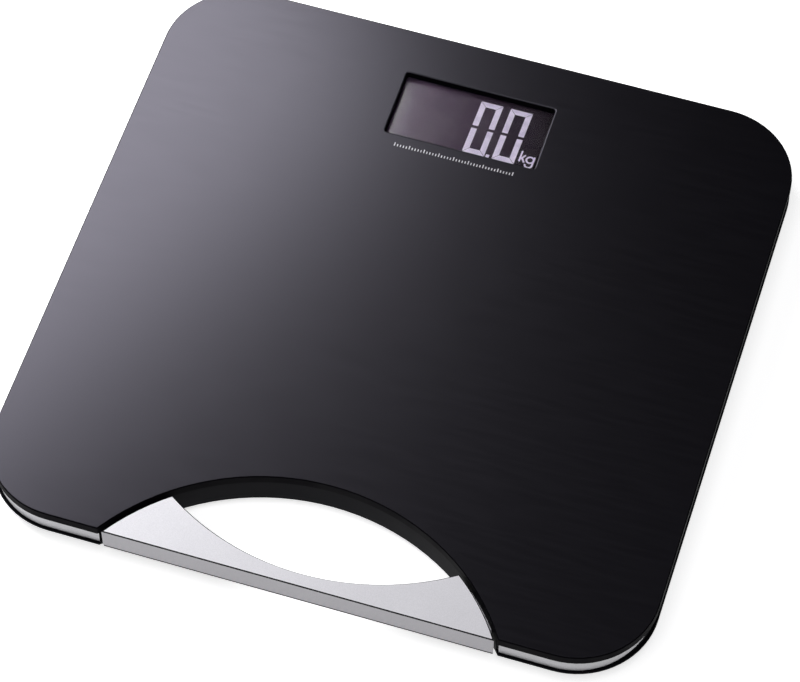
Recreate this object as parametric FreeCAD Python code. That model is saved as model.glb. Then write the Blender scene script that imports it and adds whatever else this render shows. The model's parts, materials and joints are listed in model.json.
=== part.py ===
import FreeCAD, Part
import math
import os

# Digital bathroom scale: a black platform on a shallow base, a silver hand-hold across an arched
# cut-out at the front, a recessed display at the back, and four load cells over four feet.
#
# Millimetres. +Z is up, the floor is z = 0, and the origin is the middle of the footprint on the floor.
# -Y is the front, where the hand-hold is, and +X is to the right of somebody who reads the display.

V = FreeCAD.Vector
UP = V(0, 0, 1)

# --- overall size -----------------------------------------------------------------------------
WIDTH = 320.0
DEPTH = 316.0
TOP_Z = 23.5
CORNER_R = 39.2

# --- platform -----------------------------------------------------------------------------------
PLATFORM_T = 5.0
SKIN_T = 2.6
RIM_W = 6.0
EDGE_ROUND = 0.6
ARCH_EDGE_ROUND = 0.5
WINDOW_EDGE_ROUND = 0.8
WINDOW_CORNER_R = 1.2
PLATFORM_Z = TOP_Z - PLATFORM_T
SKIN_Z = TOP_Z - SKIN_T

# --- arch and hand-hold ---------------------------------------------------------------------------
ARCH_Y = -216.7
ARCH_R = 112.1
GRIP_Y = -27.7
GRIP_R = 123.6
HANDLE_GAP = 1.7
HANDLE_TOP_Z = TOP_Z - 1.66
HANDLE_BOTTOM_Z = TOP_Z - 13.9
HANDLE_WALL = 2.4
HANDLE_CHAMFER = 0.5
COVER_T = 1.2
COVER_EDGE = 0.15
COVER_PLUG_T = 1.5
COVER_PLUG_INSET = 1.1
COVER_PLUG_GAP = 0.15
LUG_ANGLE = 48.0
LUG_HALF_ANGLE = 5.5
LUG_SCREW_ANGLE = 3.4
LUG_SCREW_R = 119.5
LUG_Z = (12.6, 15.6)
LUG_R = (ARCH_R - 3.5, ARCH_R + 11.5)
LUG_GAP = 0.3
LUG_END_GAP = 0.4
LUG_GAP_ANGLE = 0.3
LUG_PILOT_R = 1.25
LUG_BOSS_R = 3.2
LUG_HEAD_HOLE_R = 2.4
LUG_SEAT_Z = 8.4
LUG_SHAFT_HOLE_R = 1.4

# --- base -------------------------------------------------------------------------------------------
BASE_Z = 4.5
RIM_Z = TOP_Z - 15.1
TAPER_W = 6.0
FLOOR_T = 2.2
FLOOR_Z = BASE_Z + FLOOR_T
ROOT = 0.5  # how far a boss or rib runs into the floor below it
BAND_INSET = 1.4
BAND_T = 1.2
BAND_Z = TOP_Z - 14.2
BAND_FULL_Y = -154.0
BAND_POINT_Y = -100.0
BAND_END_GAP = 0.8
HOLLOW_INSET = 5.4
ARCH_WALL = 2.6
RIB_TOP_Z = 8.05
RIB_T = 1.4
RIB_X = (-112, -72, 0, 72, 112)
RIB_Y = (-76, -30, 62, 84, 143)
RIB_ARCH_GAP = 1.0
RIB_FOOT_R = 23.0
RIB_BOARD_GAP = 3.0

# --- stiffener plate ----------------------------------------------------------------------------
STIFFENER_T = 1.4
STIFFENER_Z = SKIN_Z - STIFFENER_T
STIFFENER_GAP = 0.4
STIFFENER_WINDOW = 5.0  # how far its window is outside the platform's
SCREW_TIP_Z = SKIN_Z - 0.1
THREAD_R = 1.45

# --- display -------------------------------------------------------------------------------------
WINDOW_W = 76.2
WINDOW_D = 37.6
WINDOW_Y = 113.8
WINDOW_DEPTH = 3.8
LEDGE = 8.0
LENS_Z = TOP_Z - WINDOW_DEPTH
LENS_T = 1.2
LENS_LAP = 3.5
LENS_CORNER_R = 2.0
LCD_W = 84.0
LCD_D = 45.0
LCD_REAR_D = 39.0
LCD_T = 1.0
LCD_FRONT_Z = 17.3
LCD_REAR_Z = 16.25
LCD_GAP = 0.2
LCD_SEAT = 1.2
LCD_LIP_X = 1.5
LCD_LIP_Y = 0.8
PANEL_W = 80.0
PANEL_D = 37.0
PANEL_Z = 13.2
PANEL_TOP_Z = LCD_REAR_Z - 0.05
REFLECTOR_W = 76.0
REFLECTOR_T = 0.3
LED_X = 39.2
LED_W = 1.6
LED_D = 6.0
LED_TOP_Z = 15.2
LED_NOTCH = (LED_X - 0.1, LED_W + 0.4, LED_D + 2.0)
LED_GAP_Z = 0.2
STRIP_Y = 20.7
STRIP_W = 74.0
STRIP_D = 1.8
BOARD_Z = 10.0
BOARD_T = 1.6
BOARD_W = 90.0
BOARD_D = 50.0
HOLDER_W = 92.0
HOLDER_D = 53.0
HOLDER_SCREW_X = 51.2
HOLDER_EAR_X = 50.0
HOLDER_EAR_W = 9.6
HOLDER_EAR_D = 8.0
HOLDER_SCREW_Y = 17.0
BOARD_SCREW_X = 42.6
BOARD_SCREW_Y = 23.2
BOARD_PILOT_R = 0.95
BOARD_PILOT_L = 4.5
BOARD_HOLE_R = 1.1
EAR_BOTTOM_Z = 16.4

# --- parts on the circuit board, placed from the middle of the display ---------------------------
CHIP_AT = 4.0
CHIP_R = 7.5
CHIP_H = 1.3
CRYSTAL_AT = (-18, 8)
CRYSTAL_W = 11.0
CRYSTAL_D = 4.4
CRYSTAL_H = 1.6
CAPACITOR_AT = [(-8, -12), (-2, -12), (14, -10), (20, -10), (-26, -2), (22, 8)]
CAPACITOR_W = 3.2
CAPACITOR_D = 1.6
CAPACITOR_H = 1.3

# --- feet and load cells ---------------------------------------------------------------------------
FOOT_X = 123.0
FOOT_Y = 120.0
FOOT_R = 16.2
FOOT_HOLE_R = 16.6
FLANGE_R = 19.0
FLANGE_Z = (7.2, 8.7)
FLANGE_GAP = 0.6
COLLAR_T = 1.6
FOOT_ROUND = 0.6
PAD_R = 13.6
PAD_T = 2.2
PAD_GAP = 0.1
PAD_ROUND = 0.5
PAD_GROOVE_R = (7.6, 9.0)
PAD_GROOVE_T = 0.5
CUP_Z = 1.4
STEM_R = 4.5
CELL_Z = 9.6
CELL_T = 2.6
CELL_W = 36.0
CELL_D = 34.0
CELL_TOP_Z = CELL_Z + CELL_T
CELL_CORNER_R = 4.0
CELL_HOLE_R = 1.6
CELL_HOLE_Y = 13.0
TONGUE_W = 12.0
SLOT_W = 3.0
TONGUE_TIP = 6.5
TONGUE_ROOT = 6.0
GAUGE_X = 9.0
GAUGE_SIZE = 8.0
GAUGE_T = 2.2
GAUGE_ROUND = 0.6
CARRIER_SIZE = 44.0
CARRIER_Z = 9.8
CARRIER_GAP = 0.3
CARRIER_ROOM_W = 30.0
CARRIER_ROOM_D = 20.0
CARRIER_ROOM_Z = 16.2
CARRIER_NOTCH_D = 3.0
CARRIER_NOTCH_Z = 14.8
EAR_Y = 26.0
EAR_Z = 15.6
EAR_W = 10.0
EAR_REACH = 4.5

# --- battery compartment ----------------------------------------------------------------------------
TUB_Y = 20.0
TUB_W = 54.0
TUB_D = 35.4
TUB_ROOF_Z = 17.2
TUB_WALL = 1.6
TUB_ROOF_T = 1.2
CELL_PITCH = 11.6
AAA_R = 5.25
AAA_L = 43.3
AAA_NUB_R = 1.9
AAA_NUB_L = 1.2
AAA_SHIFT = 0.4
AAA_ROUND = 0.5
DOOR_T = 1.6
AAA_Z = BASE_Z + DOOR_T + 0.35 + AAA_R
HINGE_Z = 5.8
HINGE_R = 1.3
HINGE_PIN_R = 0.7
HINGE_PIN_L = 2.2
HINGE_HOLE_R = 0.76
HINGE_BLOCK_W = 3.0
HINGE_BLOCK_D = 4.0
HINGE_BLOCK_TOP_Z = HINGE_Z + 2.0
HINGE_PIN_GAP = 0.4
DOOR_GAP = 0.3
DOOR_RECESS_Z = FLOOR_Z + 0.6
LATCH_W = 12.6
LATCH_D = 7.0
CATCH_W = 9.0
CATCH_D = 1.0
CATCH_Y = 0.5
THUMB_GROOVES = 3
THUMB_GROOVE_PITCH = 1.5
THUMB_GROOVE = (10.0, 0.6, 0.4)
CATCH_TOP_Z = BASE_Z + DOOR_T + 1.6
CONTACT_T = 0.4
CONTACT_W = 9.0
CONTACT_Z = (7.4, 16.4)
TAB_Z = 9.6
TAB_L = 2.6
TAB_W = 3.0
TAB_T = 0.4
SPRING_R = 3.0
SPRING_WIRE_R = 0.35
SPRING_TURNS = 3
SPRING_STEPS = 8
SPRING_GAP = 0.05

# --- unit button -------------------------------------------------------------------------------------
BUTTON = (-36.0, 98.0)
BUTTON_R = 3.2
BUTTON_FLANGE_R = 4.4
BUTTON_FLANGE_T = 0.7
BUTTON_ROUND = 0.4
BUTTON_Z = BASE_Z + 0.4
BUTTON_GAP = 0.3
PLUNGER_R = 1.75
PLUNGER_TOP_Z = 9.0
SWITCH_SIZE = 6.0
SWITCH_Z = 8.2
SWITCH_HOLE_TOP_Z = 9.6
SWITCH_GAP = 0.06

# --- wires --------------------------------------------------------------------------------------------
WIRE_R = 0.9
WIRE_Z = RIB_TOP_Z + WIRE_R + 0.05
BATTERY_WIRE_R = 0.6
GAUGE_WIRE_Z = CELL_TOP_Z + 1.1
GAUGE_WIRE_X = 13.0
REAR_LEAD = [(-10, 0), (-21, -0.5), (-38, 1.2), (-56, -0.6)]
FRONT_LEAD = [(-11, 0), (-19, 8), (-20, 32), (-18, 74), (-21, 122), (-27, 172), (-42, 206), (-60, 225)]
REAR_LEAD_PAD = (38, 118)
FRONT_LEAD_PAD = (38, 106)
LEAD_PAD_SIZE = 3.0
SUPPLY_PAD = (20, 96)
SUPPLY_PAD_SIZE = 2.0

# --- screws: radius of the shaft, radius and thickness of the head ---------------------------------
BASE_SCREW = (1.4, 2.9, 2.0)
CARRIER_SCREW = (1.4, 2.8, 1.6)
HOLDER_SCREW = (1.4, 2.5, 1.4)
BOARD_SCREW = (0.9, 1.9, 1.2)
HANDLE_SCREW = (1.2, 2.1, 1.5)
SCREW_HOLE_R = 1.7
BASE_BOSS_R = 4.4
BASE_HEAD_HOLE_R = 3.3
BASE_SEAT_Z = 9.2
BOARD_SCREW_TIP_Z = 15.6

CORNERS = {
    "front_left": (-1, -1),
    "front_right": (1, -1),
    "rear_left": (-1, 1),
    "rear_right": (1, 1),
}
BASE_SCREWS = [(sx * x, y) for sx in (-1, 1) for x, y in ((142, -62), (142, 62), (72, 145), (54, -88))]


# --- shared shapes ---------------------------------------------------------------------------------
def box(x0, y0, z0, x1, y1, z1):
    return Part.makeBox(x1 - x0, y1 - y0, z1 - z0, V(x0, y0, z0))


def centred_box(x, y, wide, deep, z0, z1):
    return box(x - wide / 2, y - deep / 2, z0, x + wide / 2, y + deep / 2, z1)


def cylinder(x, y, r, z0, z1):
    return Part.makeCylinder(r, z1 - z0, V(x, y, z0), UP)


def rounded(x0, y0, x1, y1, r, z0, z1):
    """A block with rounded vertical edges."""
    sides = [
        Part.LineSegment(V(x0 + r, y0, z0), V(x1 - r, y0, z0)),
        Part.LineSegment(V(x1, y0 + r, z0), V(x1, y1 - r, z0)),
        Part.LineSegment(V(x1 - r, y1, z0), V(x0 + r, y1, z0)),
        Part.LineSegment(V(x0, y1 - r, z0), V(x0, y0 + r, z0)),
    ]
    bends = []
    centres = ((x1 - r, y0 + r, -90), (x1 - r, y1 - r, 0), (x0 + r, y1 - r, 90), (x0 + r, y0 + r, 180))
    for cx, cy, start in centres:
        p = [V(cx + r * math.cos(math.radians(start + a)), cy + r * math.sin(math.radians(start + a)), z0)
             for a in (0, 45, 90)]
        bends.append(Part.Arc(*p))
    loop = [g.toShape() for pair in zip(sides, bends) for g in pair]
    return Part.Face(Part.Wire(loop)).extrude(V(0, 0, z1 - z0))


def centred_rounded(x, y, wide, deep, r, z0, z1):
    return rounded(x - wide / 2, y - deep / 2, x + wide / 2, y + deep / 2, r, z0, z1)


def arch(extra, z0, z1):
    """The round cut-out at the front, wider by extra."""
    return cylinder(0, ARCH_Y, ARCH_R + extra, z0, z1)


def edges_at(shape, z, keep=lambda edge: True):
    """The edges that lie flat at height z."""
    return [e for e in shape.Edges if all(abs(v.Z - z) < 1e-6 for v in e.Vertexes)
            and abs(e.BoundBox.ZLength) < 1e-6 and keep(e)]


def outline(inset, z0, z1):
    """The footprint as a block, smaller all round by inset."""
    x, y = WIDTH / 2 - inset, DEPTH / 2 - inset
    return rounded(-x, -y, x, y, CORNER_R - inset, z0, z1)


def outline_wire(inset, z):
    """The footprint's edge at height z, smaller all round by inset."""
    faces = outline(inset, z, z + 1).Faces
    return [f for f in faces if abs(f.CenterOfMass.z - z) < 1e-6][0].OuterWire


def crescent(inset, z0, z1):
    """The hand-hold's plan: inside the arch, behind the front line, outside the grip's circle."""
    disc = cylinder(0, ARCH_Y, ARCH_R - HANDLE_GAP - inset, z0, z1)
    front = box(-WIDTH, -DEPTH / 2 + inset, z0, WIDTH, 0, z1)
    return disc.common(front).cut(cylinder(0, GRIP_Y, GRIP_R + inset, z0, z1))


def arch_point(radius, degrees, side, z=0.0):
    """A point at that radius from the arch's centre, degrees away from +Y."""
    a = math.radians(degrees)
    return V(side * radius * math.sin(a), ARCH_Y + radius * math.cos(a), z)


def fuse_all(shapes):
    return shapes[0].multiFuse(shapes[1:]).removeSplitter() if len(shapes) > 1 else shapes[0]


def screw(x, y, seat_z, tip_z, shaft_r, head_r, head_t):
    """A cross-head screw driven upward, whose head bears on the face at seat_z."""
    head_z = seat_z - head_t
    long, short, deep = 2.4 * shaft_r, 0.6 * shaft_r, 0.55 * head_t
    head = cylinder(x, y, head_r, head_z, seat_z)
    for across, along in ((long, short), (short, long)):
        head = head.cut(centred_box(x, y, across, along, head_z, head_z + deep))
    return head.fuse(cylinder(x, y, shaft_r, seat_z, tip_z)).removeSplitter()


def tube(points, r):
    """A round wire along straight runs joined by tangent arcs, as large as the runs allow."""
    pts = [V(*p) for p in points]
    edges, start = [], pts[0]
    for a, b, c in zip(pts, pts[1:], pts[2:]):
        into, out = (b - a), (c - b)
        reach = 0.45 * min(into.Length, out.Length)
        into.normalize()
        out.normalize()
        turn = into.getAngle(out)
        p, q = b - into * reach, b + out * reach
        radius = reach / math.tan(turn / 2)
        bisector = (out - into).normalize()
        centre = b + bisector * (radius / math.cos(turn / 2))
        middle = centre - bisector * radius
        edges.append(Part.LineSegment(start, p).toShape())
        edges.append(Part.Arc(p, middle, q).toShape())
        start = q
    edges.append(Part.LineSegment(start, pts[-1]).toShape())
    path = Part.Wire(edges)
    ring = Part.Wire(Part.makeCircle(r, pts[0], pts[1] - pts[0]))
    swept = path.makePipeShell([ring], True, False)
    expected = math.pi * r * r * path.Length
    assert abs(swept.Volume / expected - 1) < 0.01, "the wire's volume is off"
    return swept


# --- casing ----------------------------------------------------------------------------------------
def platform():
    body = outline(0, PLATFORM_Z, TOP_Z)
    body = body.makeFillet(EDGE_ROUND, edges_at(body, TOP_Z))
    pocket = outline(RIM_W, PLATFORM_Z, SKIN_Z).cut(arch(RIM_W, PLATFORM_Z, SKIN_Z))
    pocket = pocket.cut(centred_box(0, WINDOW_Y, WINDOW_W + LEDGE, WINDOW_D + LEDGE, LENS_Z, SKIN_Z))
    body = body.cut(pocket).cut(arch(0, 0, TOP_Z + 1))
    rim = edges_at(body, TOP_Z, lambda e: abs(getattr(e.Curve, "Radius", 0) - ARCH_R) < 0.01)
    body = body.makeFillet(ARCH_EDGE_ROUND, rim)
    window = centred_rounded(0, WINDOW_Y, WINDOW_W, WINDOW_D, WINDOW_CORNER_R, PLATFORM_Z - 1, TOP_Z)
    body = body.cut(window)
    around = centred_box(0, WINDOW_Y, WINDOW_W + 1, WINDOW_D + 1, TOP_Z - 1, TOP_Z + 1).BoundBox
    return body.makeFillet(WINDOW_EDGE_ROUND, edges_at(body, TOP_Z, lambda e: around.isInside(e.BoundBox)))


def screw_places():
    """Every hole of the stiffener plate: base, load cell carrier and display holder screws."""
    return BASE_SCREWS + carrier_screw_places() + holder_points(HOLDER_SCREW_X)


def stiffener_plate():
    z0, z1 = STIFFENER_Z, SKIN_Z
    inset = RIM_W + STIFFENER_GAP
    plate = outline(inset, z0, z1).cut(arch(inset, z0, z1))
    window = [side + 2 * STIFFENER_WINDOW for side in (WINDOW_W, WINDOW_D)]
    plate = plate.cut(centred_box(0, WINDOW_Y, *window, z0, z1))
    for x, y in screw_places():
        plate = plate.cut(cylinder(x, y, THREAD_R, z0, z1))
    return plate


def below_band():
    """The space under the band's lower edge, which rises to a point along each side."""
    profile = [V(-WIDTH, BAND_FULL_Y, BAND_Z), V(-WIDTH, BAND_POINT_Y, PLATFORM_Z),
               V(-WIDTH, DEPTH, PLATFORM_Z), V(-WIDTH, DEPTH, BAND_Z)]
    return Part.Face(Part.makePolygon(profile + profile[:1])).extrude(V(2 * WIDTH, 0, 0))


def band_ring():
    return outline(BAND_INSET, BAND_Z, PLATFORM_Z).cut(outline(BAND_INSET + BAND_T, BAND_Z, PLATFORM_Z))


def base_shell():
    """The pan: a tapered lower edge, a flush rim, a wall set back behind the band, and an open top."""
    taper = Part.makeLoft([outline_wire(TAPER_W, BASE_Z), outline_wire(0, RIM_Z)], True, True)
    rim = outline(0, RIM_Z, BAND_Z)
    wall = outline(BAND_INSET + BAND_T, BAND_Z, PLATFORM_Z)
    hollow = outline(HOLLOW_INSET, FLOOR_Z, PLATFORM_Z).cut(arch(ARCH_WALL, 0, TOP_Z))
    side = band_ring().common(below_band())
    return fuse_all([taper, rim, wall, side]).cut(hollow).cut(arch(0, 0, TOP_Z))


def tub_box(grow, z0, z1):
    return centred_box(0, TUB_Y, TUB_W + 2 * grow, TUB_D + 2 * grow, z0, z1)


def door_plan():
    """The door's front and rear edge, and its half width."""
    return TUB_Y - TUB_D / 2 - 0.6, TUB_Y + TUB_D / 2 + 0.4, TUB_W / 2 + 1.2


def ribs():
    """Low ribs on the floor of the pan, which the wires lie over."""
    lines = []
    for x in RIB_X:
        lines.append(box(x - RIB_T / 2, -DEPTH, FLOOR_Z - ROOT, x + RIB_T / 2, DEPTH, RIB_TOP_Z))
    for y in RIB_Y:
        lines.append(box(-WIDTH, y - RIB_T / 2, FLOOR_Z - ROOT, WIDTH, y + RIB_T / 2, RIB_TOP_Z))
    grid = fuse_all(lines)
    grid = grid.common(outline(HOLLOW_INSET - ROOT, 0, TOP_Z)).cut(arch(RIB_ARCH_GAP, 0, TOP_Z))
    grid = grid.cut(tub_box(TUB_WALL, 0, TOP_Z))
    for sx, sy in CORNERS.values():
        grid = grid.cut(cylinder(sx * FOOT_X, sy * FOOT_Y, RIB_FOOT_R, 0, TOP_Z))
    return grid.cut(centred_box(0, WINDOW_Y, HOLDER_W + 2 * RIB_BOARD_GAP, HOLDER_D, 0, TOP_Z))


def foot_collar(x, y):
    """The ring on the floor of the pan that the foot's flange sits in."""
    inner = FLANGE_R + FLANGE_GAP
    collar = cylinder(x, y, inner + COLLAR_T, FLOOR_Z - ROOT, FLANGE_Z[1])
    return collar.cut(cylinder(x, y, inner, FLOOR_Z, TOP_Z))


def counterbore(x, y, head_r, seat_z, shaft_r):
    """The hole for a screw and its sunk head."""
    return cylinder(x, y, head_r, 0, seat_z).fuse(cylinder(x, y, shaft_r, 0, TOP_Z))


def door_recess():
    """The room for the battery door, its hinge pins and its catch."""
    front, back, half = door_plan()
    plan = box(-half - DOOR_GAP, front - DOOR_GAP, 0, half + DOOR_GAP, back + DOOR_GAP, DOOR_RECESS_Z)
    pin_end = half + HINGE_PIN_L + HINGE_PIN_GAP
    pins = Part.makeCylinder(HINGE_HOLE_R, 2 * pin_end, V(-pin_end, back - HINGE_R, HINGE_Z), V(1, 0, 0))
    catch = centred_box(0, front + CATCH_Y, CATCH_W + 0.8, CATCH_D + 0.7, 0, CATCH_TOP_Z + 0.3)
    return [plan, pins, catch]


def base_tray():
    pan = [base_shell(), ribs(), tub_box(TUB_WALL, FLOOR_Z - ROOT, TUB_ROOF_Z + TUB_ROOF_T)]
    pan += [cylinder(x, y, BASE_BOSS_R, FLOOR_Z - ROOT, STIFFENER_Z) for x, y in BASE_SCREWS]
    pan += [foot_collar(sx * FOOT_X, sy * FOOT_Y) for sx, sy in CORNERS.values()]
    pan += [cylinder(x, y, LUG_BOSS_R, FLOOR_Z - ROOT, LUG_Z[0]) for x, y in lug_screw_places()]
    _, back, half = door_plan()
    for x in (-half - DOOR_GAP - HINGE_BLOCK_W / 2, half + DOOR_GAP + HINGE_BLOCK_W / 2):
        block = centred_box(x, back - HINGE_R, HINGE_BLOCK_W, HINGE_BLOCK_D, FLOOR_Z - ROOT, HINGE_BLOCK_TOP_Z)
        pan.append(block)
    tray = fuse_all(pan)

    holes = [tub_box(0, 0, TUB_ROOF_Z)] + door_recess()
    holes += [counterbore(x, y, BASE_HEAD_HOLE_R, BASE_SEAT_Z, SCREW_HOLE_R) for x, y in BASE_SCREWS]
    holes += [counterbore(x, y, LUG_HEAD_HOLE_R, LUG_SEAT_Z, LUG_SHAFT_HOLE_R) for x, y in lug_screw_places()]
    for side in (-1, 1):
        holes.append(lug(side, LUG_HALF_ANGLE + LUG_GAP_ANGLE, LUG_Z[0], LUG_Z[1] + LUG_GAP, LUG_END_GAP))
    holes += [cylinder(sx * FOOT_X, sy * FOOT_Y, FOOT_HOLE_R, 0, TOP_Z) for sx, sy in CORNERS.values()]
    holes.append(cylinder(*BUTTON, BUTTON_R + BUTTON_GAP, 0, TOP_Z))
    holes.append(battery_tabs(0.1))
    for hole in holes:
        tray = tray.cut(hole)
    return tray


def trim_band():
    """The bright strips along the front and round its corners, each of which runs out to a point."""
    return band_ring().cut(below_band()).cut(arch(BAND_END_GAP, 0, TOP_Z))


# --- hand-hold ------------------------------------------------------------------------------------
def lug_screw_places():
    """The centres of the screws that hold the hand-hold's two lugs."""
    angles = (LUG_ANGLE - LUG_SCREW_ANGLE, LUG_ANGLE + LUG_SCREW_ANGLE)
    points = [arch_point(LUG_SCREW_R, angle, side) for side in (-1, 1) for angle in angles]
    return [(p.x, p.y) for p in points]


def lug(side, half_angle, z0, z1, clear=0.0):
    """A tongue that runs from the hand-hold through the arch wall into the base."""
    inner, outer = LUG_R[0], LUG_R[1] + clear
    corners = [arch_point(r, LUG_ANGLE + a, side, z0) for r, a in
               ((inner, -half_angle), (outer, -half_angle), (outer, half_angle), (inner, half_angle))]
    return Part.Face(Part.makePolygon(corners + corners[:1])).extrude(V(0, 0, z1 - z0))


def handle_body():
    body = crescent(0, HANDLE_BOTTOM_Z, HANDLE_TOP_Z)
    body = body.makeChamfer(HANDLE_CHAMFER, edges_at(body, HANDLE_TOP_Z))
    body = body.cut(crescent(COVER_PLUG_INSET, HANDLE_BOTTOM_Z, HANDLE_BOTTOM_Z + COVER_PLUG_T))
    body = body.cut(crescent(HANDLE_WALL, HANDLE_BOTTOM_Z, HANDLE_TOP_Z - HANDLE_WALL))
    for side in (-1, 1):
        body = body.fuse(lug(side, LUG_HALF_ANGLE, *LUG_Z))
    body = body.removeSplitter()
    for x, y in lug_screw_places():
        body = body.cut(cylinder(x, y, LUG_PILOT_R, LUG_Z[0] - 1, LUG_Z[1] + 1))
    return body


def handle_bottom_cover():
    """A plate under the hand-hold, with a plug that fits inside its walls."""
    plate = crescent(COVER_EDGE, HANDLE_BOTTOM_Z - COVER_T, HANDLE_BOTTOM_Z)
    plug = crescent(COVER_PLUG_INSET + COVER_PLUG_GAP, HANDLE_BOTTOM_Z, HANDLE_BOTTOM_Z + COVER_PLUG_T)
    return plate.fuse(plug).removeSplitter()


# --- display ----------------------------------------------------------------------------------------
def display_lens():
    wide, deep = WINDOW_W + 2 * LENS_LAP, WINDOW_D + 2 * LENS_LAP
    return centred_rounded(0, WINDOW_Y, wide, deep, LENS_CORNER_R, LENS_Z - LENS_T, LENS_Z)


def lcd_front_glass():
    return centred_box(0, WINDOW_Y, LCD_W, LCD_D, LCD_FRONT_Z, LCD_FRONT_Z + LCD_T)


def lcd_rear_glass():
    return centred_box(0, WINDOW_Y, LCD_W, LCD_REAR_D, LCD_REAR_Z, LCD_REAR_Z + LCD_T)


def backlight_panel():
    """The clear block that spreads the light, notched at one end for the LED."""
    panel = centred_box(0, WINDOW_Y, PANEL_W, PANEL_D, PANEL_Z, PANEL_TOP_Z)
    x, wide, deep = LED_NOTCH
    return panel.cut(centred_box(x, WINDOW_Y, wide, deep, PANEL_Z - LED_GAP_Z, LED_TOP_Z + LED_GAP_Z))


def backlight_reflector():
    return centred_box(0, WINDOW_Y, REFLECTOR_W, PANEL_D, PANEL_Z - REFLECTOR_T, PANEL_Z)


def backlight_led():
    return centred_box(LED_X, WINDOW_Y, LED_W, LED_D, BOARD_Z + BOARD_T, LED_TOP_Z)


def contact_strip(sign):
    y = WINDOW_Y + sign * STRIP_Y
    return centred_box(0, y, STRIP_W, STRIP_D, BOARD_Z + BOARD_T, LCD_FRONT_Z)


def holder_points(x):
    return [(sx * x, WINDOW_Y + sy * HOLDER_SCREW_Y) for sx in (-1, 1) for sy in (-1, 1)]


def board_screw_places():
    return [(sx * BOARD_SCREW_X, WINDOW_Y + sy * BOARD_SCREW_Y) for sx in (-1, 1) for sy in (-1, 1)]


def lcd_holder():
    """The frame that holds the two glasses, with four ears for the screws into the stiffener plate."""
    z0, z1 = BOARD_Z + BOARD_T, LCD_FRONT_Z + LCD_T
    seat_z = LCD_FRONT_Z - LCD_SEAT
    frame = centred_rounded(0, WINDOW_Y, HOLDER_W, HOLDER_D, 2, z0, z1)
    for x, y in holder_points(HOLDER_EAR_X):
        ear = centred_rounded(x, y, HOLDER_EAR_W, HOLDER_EAR_D, 1.5, EAR_BOTTOM_Z, STIFFENER_Z)
        frame = frame.fuse(ear)
    frame = frame.cut(centred_box(0, WINDOW_Y, LCD_W + 2 * LCD_GAP, LCD_D + 2 * LCD_GAP, seat_z, TOP_Z))
    frame = frame.cut(centred_box(0, WINDOW_Y, LCD_W - 2 * LCD_LIP_X, LCD_D - 2 * LCD_LIP_Y, z0, z1))
    for x, y in holder_points(HOLDER_SCREW_X):
        frame = frame.cut(cylinder(x, y, SCREW_HOLE_R, 0, TOP_Z))
    for x, y in board_screw_places():
        frame = frame.cut(cylinder(x, y, BOARD_PILOT_R, z0, z0 + BOARD_PILOT_L))
    return frame.removeSplitter()


def circuit_board():
    board = centred_rounded(0, WINDOW_Y, BOARD_W, BOARD_D, 1.0, BOARD_Z, BOARD_Z + BOARD_T)
    for x, y in board_screw_places():
        board = board.cut(cylinder(x, y, BOARD_HOLE_R, 0, TOP_Z))
    return board


def chip_cover():
    """The epoxy drop over the bare chip: a shallow dome."""
    x, y = CHIP_AT, WINDOW_Y + CHIP_AT
    ball_r = (CHIP_R ** 2 + CHIP_H ** 2) / (2 * CHIP_H)
    ball = Part.makeSphere(ball_r, V(x, y, BOARD_Z + ball_r - CHIP_H))
    return ball.common(centred_box(x, y, 3 * CHIP_R, 3 * CHIP_R, BOARD_Z - CHIP_H - 1, BOARD_Z))


def crystal():
    x, y = CRYSTAL_AT
    z0 = BOARD_Z - CRYSTAL_H
    can = centred_rounded(x, WINDOW_Y + y, CRYSTAL_W, CRYSTAL_D, CRYSTAL_D / 2 - 0.05, z0, BOARD_Z)
    return can.makeFillet(0.4, edges_at(can, z0))


def capacitors():
    chips = []
    for x, y in CAPACITOR_AT:
        chips.append(centred_box(x, WINDOW_Y + y, CAPACITOR_W, CAPACITOR_D, BOARD_Z - CAPACITOR_H, BOARD_Z))
    return Part.Compound(chips)


# --- unit button -------------------------------------------------------------------------------------
def unit_button():
    """The cap of the button and the flange that keeps it in."""
    cap = cylinder(*BUTTON, BUTTON_R, BUTTON_Z, FLOOR_Z + 0.1)
    cap = cap.makeFillet(BUTTON_ROUND, edges_at(cap, BUTTON_Z))
    return cap.fuse(cylinder(*BUTTON, BUTTON_FLANGE_R, FLOOR_Z, FLOOR_Z + BUTTON_FLANGE_T)).removeSplitter()


def switch_plunger():
    return cylinder(*BUTTON, PLUNGER_R, FLOOR_Z + BUTTON_FLANGE_T, PLUNGER_TOP_Z)


def tact_switch():
    body = centred_rounded(*BUTTON, SWITCH_SIZE, SWITCH_SIZE, 0.5, SWITCH_Z, BOARD_Z)
    return body.cut(cylinder(*BUTTON, PLUNGER_R + SWITCH_GAP, 0, SWITCH_HOLE_TOP_Z))


# --- feet and load cells ---------------------------------------------------------------------------
def foot(x, y):
    """A cup that takes the pad, a flange that keeps it in, and a stem up to the load cell."""
    body = cylinder(x, y, FOOT_R, CUP_Z, FLANGE_Z[0])
    body = body.makeFillet(FOOT_ROUND, edges_at(body, CUP_Z))
    body = body.cut(cylinder(x, y, PAD_R, 0, PAD_T))
    body = body.fuse(cylinder(x, y, FLANGE_R, *FLANGE_Z)).fuse(cylinder(x, y, STEM_R, FLANGE_Z[1], CELL_Z))
    return body.removeSplitter()


def foot_pad(x, y):
    pad = cylinder(x, y, PAD_R - PAD_GAP, 0, PAD_T)
    pad = pad.makeFillet(PAD_ROUND, edges_at(pad, 0))
    inner, outer = PAD_GROOVE_R
    return pad.cut(cylinder(x, y, outer, 0, PAD_GROOVE_T).cut(cylinder(x, y, inner, 0, PAD_GROOVE_T)))


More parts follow.
